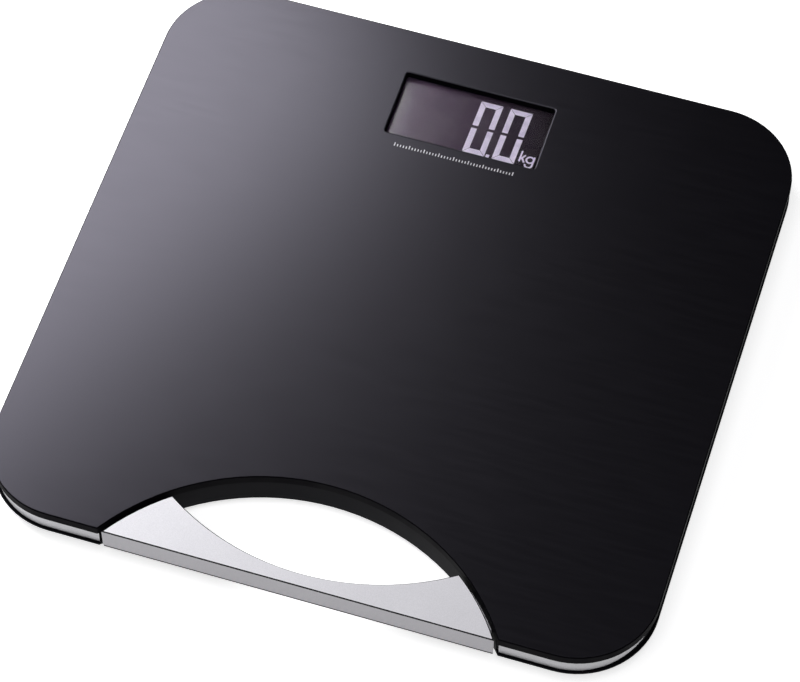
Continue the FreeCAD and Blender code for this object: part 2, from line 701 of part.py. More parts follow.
def load_cell(x, y, side):
    """A stamped plate: a frame round a tongue that is joined to it at the inner end."""
    plate = centred_rounded(x, y, CELL_W, CELL_D, CELL_CORNER_R, CELL_Z, CELL_TOP_Z)
    root = x - side * (CELL_W / 2 - TONGUE_ROOT)
    tip = x + side * TONGUE_TIP
    far = tip + side * SLOT_W
    for s in (-1, 1):
        centre = y + s * (TONGUE_W + SLOT_W) / 2
        plate = plate.cut(centred_box((root + far) / 2, centre, abs(far - root), SLOT_W, 0, TOP_Z))
    plate = plate.cut(centred_box((tip + far) / 2, y, SLOT_W, TONGUE_W, 0, TOP_Z))
    for s in (-1, 1):
        plate = plate.cut(cylinder(x, y + s * CELL_HOLE_Y, CELL_HOLE_R, 0, TOP_Z))
    return plate


def strain_gauge(x, y, side):
    """The gauge under its white potting, at the tongue's root."""
    top_z = CELL_TOP_Z + GAUGE_T
    pot = centred_rounded(x - side * GAUGE_X, y, GAUGE_SIZE, GAUGE_SIZE, 1.5, CELL_TOP_Z, top_z)
    return pot.makeFillet(GAUGE_ROUND, edges_at(pot, top_z))


def cell_carrier(x, y, side):
    """The block that holds the load cell's frame, with two ears screwed to the stiffener plate."""
    block = centred_rounded(x, y, CARRIER_SIZE, CARRIER_SIZE, 6, CARRIER_Z, STIFFENER_Z)
    ears = centred_rounded(x, y, EAR_W, 2 * (EAR_Y + EAR_REACH), 3, EAR_Z, STIFFENER_Z)
    block = block.fuse(ears).removeSplitter()
    wide, deep = CELL_W + 2 * CARRIER_GAP, CELL_D + 2 * CARRIER_GAP
    block = block.cut(centred_rounded(x, y, wide, deep, CELL_CORNER_R + CARRIER_GAP, 0, CELL_TOP_Z))
    block = block.cut(centred_box(x, y, CARRIER_ROOM_W, CARRIER_ROOM_D, 0, CARRIER_ROOM_Z))
    notch_x = x - side * CARRIER_ROOM_W / 2
    block = block.cut(centred_box(notch_x, y, CARRIER_ROOM_W, CARRIER_NOTCH_D, CELL_TOP_Z, CARRIER_NOTCH_Z))
    for e in (-EAR_Y, EAR_Y):
        block = block.cut(cylinder(x, y + e, SCREW_HOLE_R, 0, TOP_Z))
    return block


def sensor_wire(sx, sy):
    """From the potted gauge through the carrier's notch, over the ribs, to the circuit board."""
    lead, pad = (REAR_LEAD, REAR_LEAD_PAD) if sy > 0 else (FRONT_LEAD, FRONT_LEAD_PAD)
    x, y = FOOT_X - GAUGE_WIRE_X, sy * FOOT_Y
    points = [(x, y, GAUGE_WIRE_Z), (x + lead[0][0], y + lead[0][1], GAUGE_WIRE_Z)]
    points += [(x + dx, y + dy, WIRE_Z) for dx, dy in lead[1:]]
    points.append((*pad, WIRE_Z))
    points = [(sx * px, py, pz) for px, py, pz in points]
    joint = centred_box(sx * pad[0], pad[1], LEAD_PAD_SIZE, LEAD_PAD_SIZE, WIRE_Z - WIRE_R, BOARD_Z)
    return tube(points, WIRE_R).fuse(joint).removeSplitter()


# --- battery compartment ----------------------------------------------------------------------------
def battery_places():
    """Each cell's y and the side its nub points to."""
    return [(TUB_Y + (i - 1) * CELL_PITCH, 1 if i % 2 == 0 else -1) for i in range(3)]


def battery(y, side):
    start = V(-side * (AAA_L / 2 + AAA_SHIFT), y, AAA_Z)
    way = V(side, 0, 0)
    can = Part.makeCylinder(AAA_R, AAA_L, start, way)
    can = can.makeFillet(AAA_ROUND, [e for e in can.Edges if e.Closed])
    nub = Part.makeCylinder(AAA_NUB_R, AAA_NUB_L, start + way * AAA_L, way)
    return can.fuse(nub).removeSplitter()


def battery_springs():
    """A coil between each cell's flat end and its contact plate."""
    outer = TUB_W / 2 - CONTACT_T - SPRING_WIRE_R - SPRING_GAP
    inner = AAA_L / 2 + AAA_SHIFT + SPRING_WIRE_R + SPRING_GAP
    steps = SPRING_TURNS * SPRING_STEPS
    coils = []
    for y, side in battery_places():
        points = []
        for i in range(steps + 1):
            turn = 2 * math.pi * i / SPRING_STEPS
            x = -side * (outer + (inner - outer) * i / steps)
            points.append((x, y + SPRING_R * math.cos(turn), AAA_Z + SPRING_R * math.sin(turn)))
        coils.append(tube(points, SPRING_WIRE_R))
    return Part.Compound(coils)


def battery_contacts():
    """Plates against both ends of the compartment, one beside each end of each cell."""
    plates = []
    for side in (-1, 1):
        for y, _ in battery_places():
            x = side * (TUB_W / 2 - CONTACT_T / 2)
            plates.append(centred_box(x, y, CONTACT_T, CONTACT_W, *CONTACT_Z))
    return Part.Compound(plates)


def battery_tabs(grow):
    """Solder tabs that lead the supply through the end wall."""
    tabs = []
    for y in (TUB_Y - CELL_PITCH, TUB_Y + CELL_PITCH):
        half_t = TAB_T / 2 + grow
        x = TUB_W / 2 + TAB_L / 2
        tabs.append(centred_box(x, y, TAB_L + grow, TAB_W + 2 * grow, TAB_Z - half_t, TAB_Z + half_t))
    return Part.Compound(tabs)


def battery_wire(y, far):
    """A supply lead from its tab round the compartment to the board; far keeps the two leads apart."""
    x0 = TUB_W / 2 + TAB_L + 0.2
    x1 = x0 + far
    pad_x, pad_y = SUPPLY_PAD[0] + far, SUPPLY_PAD[1]
    bends = [(x1 + 4, y + 1), (x1 + 8, y + 12), (x1 + 7, y + 30), (x1, pad_y - 14 - far),
             (pad_x + 2, pad_y - 6), (pad_x, pad_y)]
    points = [(x0, y, TAB_Z)] + [(*bend, WIRE_Z) for bend in bends]
    joint = centred_box(pad_x, pad_y, SUPPLY_PAD_SIZE, SUPPLY_PAD_SIZE, WIRE_Z - BATTERY_WIRE_R, BOARD_Z)
    return tube(points, BATTERY_WIRE_R).fuse(joint).removeSplitter()


def battery_door():
    """The door with its hinge barrel and pins, and a springy tongue that carries the catch."""
    front, back, half = door_plan()
    hinge_y = back - HINGE_R
    door = rounded(-half, front, half, hinge_y + 0.2, 0.15, BASE_Z, BASE_Z + DOOR_T)
    barrel = Part.makeCylinder(HINGE_R, 2 * half, V(-half, hinge_y, HINGE_Z), V(1, 0, 0))
    pin_end = half + HINGE_PIN_L
    pins = Part.makeCylinder(HINGE_PIN_R, 2 * pin_end, V(-pin_end, hinge_y, HINGE_Z), V(1, 0, 0))
    barrel_side = box(-half, hinge_y, 0, half, back, HINGE_Z)
    door = door.cut(barrel_side).fuse(barrel).fuse(pins)
    tongue = centred_box(0, front + LATCH_D / 2 - 0.1, LATCH_W, LATCH_D, 0, TOP_Z)
    around = centred_box(0, front + LATCH_D / 2 + 0.7, LATCH_W + 2.8, LATCH_D + 0.4, 0, TOP_Z)
    door = door.cut(around.cut(tongue))
    wide, across, deep = THUMB_GROOVE
    for i in range(THUMB_GROOVES):
        y = front + 1.3 + i * THUMB_GROOVE_PITCH
        door = door.cut(centred_box(0, y, wide, across, BASE_Z, BASE_Z + deep))
    catch = centred_box(0, front + CATCH_Y, CATCH_W, CATCH_D, BASE_Z + DOOR_T - 0.1, CATCH_TOP_Z)
    return door.fuse(catch).removeSplitter()


# --- fasteners -------------------------------------------------------------------------------------
def screws(places, seat_z, tip_z, size):
    return Part.Compound([screw(x, y, seat_z, tip_z, *size) for x, y in places])


def carrier_screw_places():
    return [(sx * FOOT_X, sy * FOOT_Y + e) for sx, sy in CORNERS.values() for e in (-EAR_Y, EAR_Y)]


def model():
    parts = {
        "platform": platform(),
        "stiffener_plate": stiffener_plate(),
        "base_tray": base_tray(),
        "trim_band": trim_band(),
        "handle_body": handle_body(),
        "handle_bottom_cover": handle_bottom_cover(),
        "display_lens": display_lens(),
        "lcd_holder": lcd_holder(),
        "lcd_front_glass": lcd_front_glass(),
        "lcd_rear_glass": lcd_rear_glass(),
        "backlight_panel": backlight_panel(),
        "backlight_reflector": backlight_reflector(),
        "backlight_led": backlight_led(),
        "contact_strip_front": contact_strip(-1),
        "contact_strip_rear": contact_strip(1),
        "circuit_board": circuit_board(),
        "chip_cover": chip_cover(),
        "crystal": crystal(),
        "capacitors": capacitors(),
        "unit_button": unit_button(),
        "switch_plunger": switch_plunger(),
        "tact_switch": tact_switch(),
        "battery_door": battery_door(),
        "battery_springs": battery_springs(),
        "battery_contacts": battery_contacts(),
        "battery_tabs": battery_tabs(0),
        "battery_wire_black": battery_wire(TUB_Y - CELL_PITCH, 8),
        "battery_wire_red": battery_wire(TUB_Y + CELL_PITCH, 0),
        "base_screws": screws(BASE_SCREWS, BASE_SEAT_Z, SCREW_TIP_Z, BASE_SCREW),
        "carrier_screws": screws(carrier_screw_places(), EAR_Z, SCREW_TIP_Z, CARRIER_SCREW),
        "holder_screws": screws(holder_points(HOLDER_SCREW_X), EAR_BOTTOM_Z, SCREW_TIP_Z, HOLDER_SCREW),
        "board_screws": screws(board_screw_places(), BOARD_Z, BOARD_SCREW_TIP_Z, BOARD_SCREW),
        "handle_screws": screws(lug_screw_places(), LUG_SEAT_Z, LUG_Z[1] - 0.2, HANDLE_SCREW),
    }
    for number, (y, side) in enumerate(battery_places(), 1):
        parts[f"battery_{number}"] = battery(y, side)
    for name, (sx, sy) in CORNERS.items():
        x, y = sx * FOOT_X, sy * FOOT_Y
        parts["foot_" + name] = foot(x, y)
        parts["foot_pad_" + name] = foot_pad(x, y)
        parts["load_cell_" + name] = load_cell(x, y, sx)
        parts["strain_gauge_" + name] = strain_gauge(x, y, sx)
        parts["cell_carrier_" + name] = cell_carrier(x, y, sx)
        parts["sensor_wire_" + name] = sensor_wire(sx, sy)
    return parts


os.makedirs("parts", exist_ok=True)
for name, shape in model().items():
    solids = shape.Solids
    if not (shape.isValid() and solids and min(s.Volume for s in solids) > 0):
        print("CHECK", name, "valid", shape.isValid(), "solids", len(solids))
    shape.exportStep(f"parts/{name}.step")
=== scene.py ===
import json
import math

import bmesh
import bpy
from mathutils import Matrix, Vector

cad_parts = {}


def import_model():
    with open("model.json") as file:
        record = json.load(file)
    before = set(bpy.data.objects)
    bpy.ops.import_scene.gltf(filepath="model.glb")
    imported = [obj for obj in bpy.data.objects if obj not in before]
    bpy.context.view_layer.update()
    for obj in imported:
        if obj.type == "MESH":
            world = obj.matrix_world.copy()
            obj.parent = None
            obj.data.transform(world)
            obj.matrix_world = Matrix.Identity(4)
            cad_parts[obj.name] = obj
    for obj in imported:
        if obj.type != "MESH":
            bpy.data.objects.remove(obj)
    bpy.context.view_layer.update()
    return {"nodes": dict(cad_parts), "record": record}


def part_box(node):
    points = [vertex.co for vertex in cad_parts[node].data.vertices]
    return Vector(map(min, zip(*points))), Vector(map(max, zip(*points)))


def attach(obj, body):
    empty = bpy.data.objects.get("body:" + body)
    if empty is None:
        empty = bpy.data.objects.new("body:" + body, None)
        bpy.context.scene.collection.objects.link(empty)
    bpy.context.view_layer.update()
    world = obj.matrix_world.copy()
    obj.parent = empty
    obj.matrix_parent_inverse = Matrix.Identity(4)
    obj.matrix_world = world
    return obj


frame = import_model()
nodes = frame["nodes"]

# --- camera -----------------------------------------------------------------------------------------
CAMERA_AZIMUTH = math.radians(17.49)
CAMERA_ELEVATION = math.radians(57.25)
CAMERA_DISTANCE = 1.709
CAMERA_LENS = 163.2
CAMERA_TARGET = (0.0058, -0.0195)  # x and y on the platform's top
SENSOR_WIDTH = 36.0
CLIP_START = 0.01

# --- light: a softbox near the rear left that the platform mirrors, a top light, and two low fills -------
SOFTBOX_AT = (-0.381, 0.193, 0.402)
SOFTBOX_SIZE = (0.694, 0.266)
SOFTBOX_RADIANCE = 7.9
SOFTBOX_AIM = (0, 0, 0.0235)
TOP_AT = (0.10, -0.55, 1.9)
TOP_SIZE = (1.2, 1.2)
TOP_RADIANCE = 3.0
FILL_AT = (1.1, -1.1, 0.55)
FILL_SIZE = (1.0, 0.5)
FILL_RADIANCE = 0.7
WORLD_COLOUR = (0.010, 0.010, 0.011)

# --- floor ------------------------------------------------------------------------------------------
FLOOR_SIZE = 12.0
FLOOR_GLOW = 0.72
FLOOR_DROP = 0.0001
FLOOR_COLOUR = (0.86, 0.86, 0.87)
FLOOR_ROUGHNESS = 0.7
FLOOR_MOTTLE_SCALE = 1.5
FLOOR_SHADE = 0.99

# --- surfaces: how a face's upward slope says which darker copy, as painted shade, it gets ------------
LEVEL = 0.99
CHAMFER = 0.9
UPRIGHT = 0.3
BAND_END_X = 0.0965  # nearer the middle than this, a face of the band is one of its cut ends

# --- display: a painted sheen fades the face's colour from left to right across these x ----------------
LCD_SHEEN_SPAN = (-0.030, 0.036)
LCD_SHEEN = (0.115, 0.078, 0.125)
LCD_DARK = (0.028, 0.021, 0.030)
SEGMENT_GLOW = 0.45

# --- textures: scales are in cycles per metre and bump distances in metres -----------------------------
NOISE_MIDDLE = (0.35, 0.65)  # the range that most of a noise texture's values lie in
DRIFT_SCALE = 9.0
DRIFT = 0.10
RUB_SCALE = 60.0
RUB = 0.02
GRAIN_SCALE = 1500.0
GRAIN_DEPTH = 0.00001
STREAK_SCALE = 60.0
STREAK_STRETCH = (1.0, 40.0, 40.0)
STREAK_DEPTH = 0.000008
STREAK_SHADE = 0.88
FLAKE_SCALE = 5200.0
FLAKE_SHADES = (0.93, 1.07)
PAINT_ROUGHNESS = (0.37, 0.43)
PAINT_RIPPLE_SCALE = 420.0
PAINT_RIPPLE_DEPTH = 0.000006


# --- materials --------------------------------------------------------------------------------------
def new_material(name, colour, roughness, metallic=0.0, **sockets):
    material = bpy.data.materials.new(name)
    material.use_nodes = True
    shader = material.node_tree.nodes["Principled BSDF"]
    shader.inputs["Base Color"].default_value = (*colour, 1.0)
    shader.inputs["Roughness"].default_value = roughness
    shader.inputs["Metallic"].default_value = metallic
    for socket, value in sockets.items():
        shader.inputs[socket.replace("_", " ")].default_value = value
    return material, shader


def link(material, source, target):
    material.node_tree.links.new(source, target)


def add(material, kind, **settings):
    node = material.node_tree.nodes.new(kind)
    for name, value in settings.items():
        setattr(node, name, value)
    return node


def place(material, stretch=(1.0, 1.0, 1.0)):
    """Object coordinates, stretched along each axis."""
    coordinates = add(material, "ShaderNodeTexCoord")
    mapping = add(material, "ShaderNodeMapping")
    mapping.inputs["Scale"].default_value = stretch
    link(material, coordinates.outputs["Object"], mapping.inputs["Vector"])
    return mapping.outputs["Vector"]


def noise(material, where, scale, detail=3.0):
    node = add(material, "ShaderNodeTexNoise")
    node.inputs["Scale"].default_value = scale
    node.inputs["Detail"].default_value = detail
    link(material, where, node.inputs["Vector"])
    return node.outputs["Fac"]


def spread(material, factor, low, high, within=NOISE_MIDDLE):
    """The part of a factor that lies within a range, stretched to run from low to high."""
    node = add(material, "ShaderNodeMapRange")
    node.inputs["From Min"].default_value = within[0]
    node.inputs["From Max"].default_value = within[1]
    node.inputs["To Min"].default_value = low
    node.inputs["To Max"].default_value = high
    link(material, factor, node.inputs["Value"])
    return node.outputs["Result"]


def tint(material, factor, dark, light):
    """A colour that runs from dark to light with a factor from 0 to 1."""
    node = add(material, "ShaderNodeMix", data_type="RGBA")
    node.inputs[6].default_value = (*dark, 1.0)
    node.inputs[7].default_value = (*light, 1.0)
    link(material, factor, node.inputs[0])
    return node.outputs[2]


def bump(material, shader, height, distance, strength=1.0):
    node = add(material, "ShaderNodeBump")
    node.inputs["Distance"].default_value = distance
    node.inputs["Strength"].default_value = strength
    link(material, height, node.inputs["Height"])
    link(material, node.outputs["Normal"], shader.inputs["Normal"])


def moulded(name, colour, roughness, grain=GRAIN_SCALE, depth=GRAIN_DEPTH, **sockets):
    """Moulded plastic or rubber: fine spark-eroded grain, and slow drift in colour and gloss."""
    material, shader = new_material(name, colour, roughness, **sockets)
    where = place(material)
    drift = spread(material, noise(material, where, DRIFT_SCALE), 0.0, 1.0)
    dark = [c * (1 - DRIFT) for c in colour]
    light = [min(1.0, c * (1 + DRIFT)) for c in colour]
    link(material, tint(material, drift, dark, light), shader.inputs["Base Color"])
    rub = spread(material, noise(material, where, RUB_SCALE), roughness - RUB, roughness + RUB)
    link(material, rub, shader.inputs["Roughness"])
    bump(material, shader, noise(material, where, grain, 2.0), depth)
    return material


def brushed(name, colour, roughness):
    """Rolled or brushed metal, with streaks along one axis."""
    material, shader = new_material(name, colour, roughness, metallic=1.0)
    streaks = noise(material, place(material, STREAK_STRETCH), STREAK_SCALE, 4.0)
    dark = [c * STREAK_SHADE for c in colour]
    link(material, tint(material, spread(material, streaks, 0, 1), dark, colour), shader.inputs["Base Color"])
    link(material, spread(material, streaks, roughness - 0.06, roughness + 0.08), shader.inputs["Roughness"])
    bump(material, shader, streaks, STREAK_DEPTH)
    return material


def silver_paint(name, colour):
    """Silver paint on plastic: fine flakes under a clear, slightly uneven coat."""
    material, shader = new_material(name, colour, sum(PAINT_ROUGHNESS) / 2, metallic=0.10)
    where = place(material)
    flakes = add(material, "ShaderNodeTexVoronoi")
    flakes.inputs["Scale"].default_value = FLAKE_SCALE
    link(material, where, flakes.inputs["Vector"])
    grey = add(material, "ShaderNodeSeparateColor")
    link(material, flakes.outputs["Color"], grey.inputs["Color"])
    dark, light = ([c * k for c in colour] for k in FLAKE_SHADES)
    link(material, tint(material, grey.outputs["Red"], dark, light), shader.inputs["Base Color"])
    rub = spread(material, noise(material, where, 45.0), *PAINT_ROUGHNESS)
    link(material, rub, shader.inputs["Roughness"])
    bump(material, shader, noise(material, where, PAINT_RIPPLE_SCALE, 2.0), PAINT_RIPPLE_DEPTH)
    return material


def platform_plastic():
    """Satin black: an even fine grain that blurs what the top mirrors, with faint rubbing marks."""
    material, shader = new_material("satin_black", (0.0008, 0.0006, 0.0012), 0.31)
    shader.inputs["IOR"].default_value = 1.5
    shader.inputs["Specular Tint"].default_value = (1.0, 0.955, 1.16, 1.0)
    where = place(material)
    drift = spread(material, noise(material, where, 7.0), 0.0, 1.0)
    colours = tint(material, drift, (0.0006, 0.0004, 0.0009), (0.0010, 0.0008, 0.0015))
    link(material, colours, shader.inputs["Base Color"])
    long_marks = noise(material, place(material, (1.0, 9.0, 1.0)), 38.0, 5.0)
    link(material, spread(material, long_marks, 0.300, 0.318), shader.inputs["Roughness"])
    bump(material, shader, noise(material, where, 1900.0, 2.0), 0.000006, 0.35)
    return material


def lcd_face():
    """The display's front: violet polariser, paler at the left: a painted reflection of the softbox."""
    material, shader = new_material("lcd_face", (0.09, 0.065, 0.10), 0.16)
    where = place(material)
    split = add(material, "ShaderNodeSeparateXYZ")
    link(material, where, split.inputs["Vector"])
    # painted reflection of the softbox: paler at the left, fading to the right
    sheen_fade = spread(material, split.outputs["X"], 1.0, 0.0, LCD_SHEEN_SPAN)
    colours = tint(material, sheen_fade, LCD_DARK, LCD_SHEEN)
    link(material, colours, shader.inputs["Base Color"])
    bump(material, shader, noise(material, where, 700.0, 2.0), 0.000004)
    return material


def painted_shade_black():
    """Painted shade on the upright edges: the same plastic, darker and duller than the top."""
    material, shader = new_material("painted_shade_black", (0.0022, 0.0020, 0.0030), 0.55)
    shader.inputs["Specular IOR Level"].default_value = 0.015
    where = place(material)
    drift = spread(material, noise(material, where, 14.0), 0.0, 1.0)
    link(material, tint(material, drift, (0.0018, 0.0016, 0.0026), (0.0027, 0.0025, 0.0036)),
         shader.inputs["Base Color"])
    link(material, spread(material, noise(material, where, 80.0), 0.50, 0.60), shader.inputs["Roughness"])
    bump(material, shader, noise(material, where, 1300.0, 2.0), 0.00001)
    return material


def painted_chamfer_shade():
    """Painted shade on the handle's chamfer: dark metal that draws a thin line and mirrors the dark room."""
    material, shader = new_material("painted_chamfer_shade", (0.20, 0.20, 0.21), 0.22, metallic=1.0)
    streaks = noise(material, place(material, (30.0, 1.0, 1.0)), 200.0, 2.0)
    link(material, tint(material, spread(material, streaks, 0, 1), (0.16, 0.16, 0.17), (0.24, 0.24, 0.25)),
         shader.inputs["Base Color"])
    link(material, spread(material, streaks, 0.20, 0.28), shader.inputs["Roughness"])
    return material


def clear_plastic():
    """The smoked cover over the display: clear, glossy and very slightly uneven."""
    material, shader = new_material("clear_cover", (0.9, 0.88, 0.92), 0.12)
    shader.inputs["Transmission Weight"].default_value = 1.0
    shader.inputs["IOR"].default_value = 1.49
    where = place(material)
    link(material, spread(material, noise(material, where, 80.0), 0.10, 0.16), shader.inputs["Roughness"])
    bump(material, shader, noise(material, where, 300.0, 2.0), 0.000003)
    return material


def lit_segment():
    """A lit segment: pale, with a soft glow from the backlight."""
    material, shader = new_material("lit_segment", (0.60, 0.56, 0.66), 0.35)
    where = place(material)
    mottle = spread(material, noise(material, where, 260.0), 0.0, 1.0)
    colours = tint(material, mottle, (0.55, 0.51, 0.62), (0.66, 0.62, 0.72))
    link(material, colours, shader.inputs["Base Color"])
    link(material, colours, shader.inputs["Emission Color"])
    shader.inputs["Emission Strength"].default_value = SEGMENT_GLOW
    return material


def printed_ink():
    material, shader = new_material("printed_ink", (0.55, 0.54, 0.58), 0.5)
    where = place(material)
    worn = spread(material, noise(material, where, 900.0), 0.0, 1.0)
    colours = tint(material, worn, (0.42, 0.41, 0.45), (0.66, 0.65, 0.69))
    link(material, colours, shader.inputs["Base Color"])
    return material


def circuit_green():
    """Solder mask with the darker bands of the copper tracks under it."""
    material, shader = new_material("circuit_green", (0.01, 0.09, 0.03), 0.35)
    waves = add(material, "ShaderNodeTexWave", wave_profile="SIN")
    waves.inputs["Scale"].default_value = 160.0
    waves.inputs["Distortion"].default_value = 3.0
    link(material, place(material), waves.inputs["Vector"])
    tracks = spread(material, waves.outputs["Fac"], 0.0, 1.0, (0.55, 0.70))
    colours = tint(material, tracks, (0.008, 0.075, 0.025), (0.02, 0.14, 0.05))
    link(material, colours, shader.inputs["Base Color"])
    bump(material, shader, tracks, 0.00003)
    return material


MATERIALS = {
    "satin_black": platform_plastic(),
    "base_black": moulded("base_black", (0.0035, 0.0035, 0.005), 0.55, 1100.0, 0.00002,
                          Specular_IOR_Level=0.03),
    "silver": silver_paint("silver_paint", (0.74, 0.73, 0.775)),
    "steel_plate": brushed("steel_plate", (0.60, 0.61, 0.62), 0.38),
    "clear_lens": clear_plastic(),
    "lcd_glass": lcd_face(),
    "light_guide": moulded("light_guide", (0.80, 0.82, 0.85), 0.25),
    "white_film": moulded("white_film", (0.86, 0.86, 0.86), 0.55),
    "led_white": moulded("led_white", (0.88, 0.84, 0.62), 0.30),
    "zebra_rubber": moulded("zebra_rubber", (0.62, 0.42, 0.45), 0.60),
    "grey_plastic": moulded("grey_plastic", (0.10, 0.10, 0.11), 0.45),
    "board": circuit_green(),
    # painted shade: a darker, duller copy of the black plastic for upright edges
    "painted_shade_black": painted_shade_black(),
    # painted shade: a darker copy of the silver paint for the band's upright face
    "band_shaded_silver": silver_paint("band_shaded_silver", (0.52, 0.515, 0.535)),
    # painted shade: a darker copy of the silver paint for the handle's upright faces
    "front_shaded_silver": silver_paint("front_shaded_silver", (0.37, 0.36, 0.385)),
    # painted shade: dark metal for the handle's sloped chamfer
    "painted_chamfer_shade": painted_chamfer_shade(),
    "printed_ink": printed_ink(),
    "lit_segment": lit_segment(),
    "epoxy": moulded("epoxy", (0.008, 0.008, 0.009), 0.18),
    "tin": brushed("tin", (0.74, 0.73, 0.70), 0.28),
    "ceramic": moulded("ceramic", (0.42, 0.27, 0.14), 0.45),
    "button_grey": moulded("button_grey", (0.16, 0.16, 0.17), 0.42),
    "foot_plastic": moulded("foot_plastic", (0.012, 0.012, 0.014), 0.50),
    "foot_rubber": moulded("foot_rubber", (0.030, 0.030, 0.032), 0.75, 700.0, 0.00006),
    "cell_steel": brushed("cell_steel", (0.66, 0.65, 0.62), 0.32),
    "potting": moulded("potting", (0.80, 0.80, 0.76), 0.40),
    "nylon": moulded("nylon", (0.66, 0.64, 0.57), 0.45),
    "wire_grey": moulded("wire_grey", (0.22, 0.22, 0.24), 0.45),
    "wire_black": moulded("wire_black", (0.012, 0.012, 0.012), 0.40),
    "wire_red": moulded("wire_red", (0.36, 0.012, 0.010), 0.40),
    "battery_wrap": moulded("battery_wrap", (0.03, 0.08, 0.13), 0.22),
    "screw_steel": brushed("screw_steel", (0.20, 0.20, 0.21), 0.35),
}


def paint(piece, material):
    piece.data.materials.clear()
    piece.data.materials.append(material)


def paint_faces(piece, material, chosen):
    """Gives the faces that chosen(face) picks a second material."""
    piece.data.materials.append(material)
    index = len(piece.data.materials) - 1
    for face in piece.data.polygons:
        if chosen(face):
            face.material_index = index


def in_window(face):
    low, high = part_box("display_lens")
    return low.x < face.center.x < high.x and low.y < face.center.y < high.y


def platform_edge(face):
    """Every face but the level top and, round the window, the rounded rim; these get painted shade."""
    return face.normal.z < (UPRIGHT if in_window(face) else LEVEL)


for entry in frame["record"]["subparts"]:
    paint(nodes[entry["node"]], MATERIALS[entry["material_slot"]])
# the band's upright face gets the darker silver as painted shade
paint(nodes["trim_band"], MATERIALS["band_shaded_silver"])
# the platform's sides, rounded top edge and window walls get the darker black as painted shade
paint_faces(nodes["platform"], MATERIALS["painted_shade_black"], platform_edge)
# the band's cut ends, where the gap is in shade, get the darker black as painted shade
paint_faces(nodes["trim_band"], MATERIALS["painted_shade_black"], lambda face: abs(face.center.x) < BAND_END_X)
# the handle's sloped chamfer gets dark metal as painted shade, a thin dark line along its top edge
paint_faces(nodes["handle_body"], MATERIALS["painted_chamfer_shade"], lambda face: UPRIGHT < face.normal.z < CHAMFER)
# the handle's upright faces get the darker silver as painted shade
paint_faces(nodes["handle_body"], MATERIALS["front_shaded_silver"], lambda face: abs(face.normal.z) < UPRIGHT)


# --- display ----------------------------------------------------------------------------------------
SEGMENT_T = 0.00006
DIGIT_HEIGHT = 0.0318
DIGIT_WIDTH = 0.0112
DIGIT_LEFTS = (0.0005, 0.0156)
STROKE = 0.0029
SEGMENT_GAP = 0.00020
WAIST_GAP = 0.00085
SLANT = 0.022
POINT_X = 0.0124
POINT_SIZE = 0.0017
DISPLAY_LIFT = 0.00001
UNIT_LEFT = 0.0288
UNIT_HEIGHT = 0.0066
UNIT_STROKE = 0.0009
UNIT_RAISE = 0.0024
LETTER_BODY = 0.68 * UNIT_HEIGHT  # the height of the small letters
LETTER_R = 0.40 * LETTER_BODY
K_WIDTH = 0.34 * UNIT_HEIGHT
G_CENTRE_X = 0.76 * UNIT_HEIGHT
G_TAIL = 0.10 * UNIT_HEIGHT
TICKS = 41
TICK_SPAN = (-0.031, 0.029)
TICK_Y = 0.0878
TICK_GROUP = 5
TICK_HEIGHT = 0.0014
TICK_TALL_HEIGHT = 0.0021
TICK_WIDTH = 0.0005
TICK_DEPTH = 0.00002


def finished(name, mesh_builder, material, body):
    """Closes off a bmesh as a piece of the object that rides on a body."""
    mesh = bpy.data.meshes.new(name)
    bmesh.ops.recalc_face_normals(mesh_builder, faces=mesh_builder.faces)
    mesh_builder.to_mesh(mesh)
    mesh_builder.free()
    piece = bpy.data.objects.new(name, mesh)
    bpy.context.scene.collection.objects.link(piece)
    paint(piece, material)
    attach(piece, body)


def prism(builder, outline, z0, z1):
    """A closed plate with that outline."""
    low = [builder.verts.new((x, y, z0)) for x, y in outline]
    high = [builder.verts.new((x, y, z1)) for x, y in outline]
    builder.faces.new(low[::-1])
    builder.faces.new(high)
    for i in range(len(outline)):
        j = (i + 1) % len(outline)
        builder.faces.new((low[i], low[j], high[j], high[i]))


def bar(a, b, width, cut_a=0.0, cut_b=0.0):
    """A bar from a to b. An end is cut off square, or mitred: a cut of 1 or -1 slants it by 45 degrees."""
    a, b = Vector(a), Vector(b)
    along = (b - a).normalized()
    sheen_fade = Vector((-along.y, along.x)) * width / 2
    slant_a, slant_b = along * cut_a * width / 2, along * cut_b * width / 2
    return [a + sheen_fade + slant_a, b + sheen_fade + slant_b, b - sheen_fade - slant_b, a - sheen_fade - slant_a]


def zero(left, base):
    """The six lit segments of a nought, mitred at its corners and parted at its middle."""
    half = STROKE / 2
    right, top = left + DIGIT_WIDTH, base + DIGIT_HEIGHT
    middle = base + DIGIT_HEIGHT / 2
    inner_left, inner_right = left + half, right - half
    inner_base, inner_top = base + half, top - half
    gap, waist = SEGMENT_GAP, WAIST_GAP
    return [
        bar((inner_left, inner_base + gap), (inner_left, middle - waist), STROKE, -1, 0),
        bar((inner_left, middle + waist), (inner_left, inner_top - gap), STROKE, 0, 1),
        bar((inner_right, inner_base + gap), (inner_right, middle - waist), STROKE, 1, 0),
        bar((inner_right, middle + waist), (inner_right, inner_top - gap), STROKE, 0, -1),
        bar((inner_left + gap / 2, inner_base), (inner_right - gap / 2, inner_base), STROKE, 1, -1),
        bar((inner_left + gap / 2, inner_top), (inner_right - gap / 2, inner_top), STROKE, -1, 1),
    ]


def ring(centre, radius, width, start=0, end=360, steps=20):
    """A round stroke as a row of short closed bars."""
    bars = []
    for i in range(steps):
        pair = [math.radians(start + (end - start) * (i + j) / steps) for j in (0, 1)]
        inner, outer = radius - width / 2, radius + width / 2
        corners = [(inner, pair[0]), (outer, pair[0]), (outer, pair[1]), (inner, pair[1])]
        bars.append([(centre[0] + r * math.cos(a), centre[1] + r * math.sin(a)) for r, a in corners])
    return bars


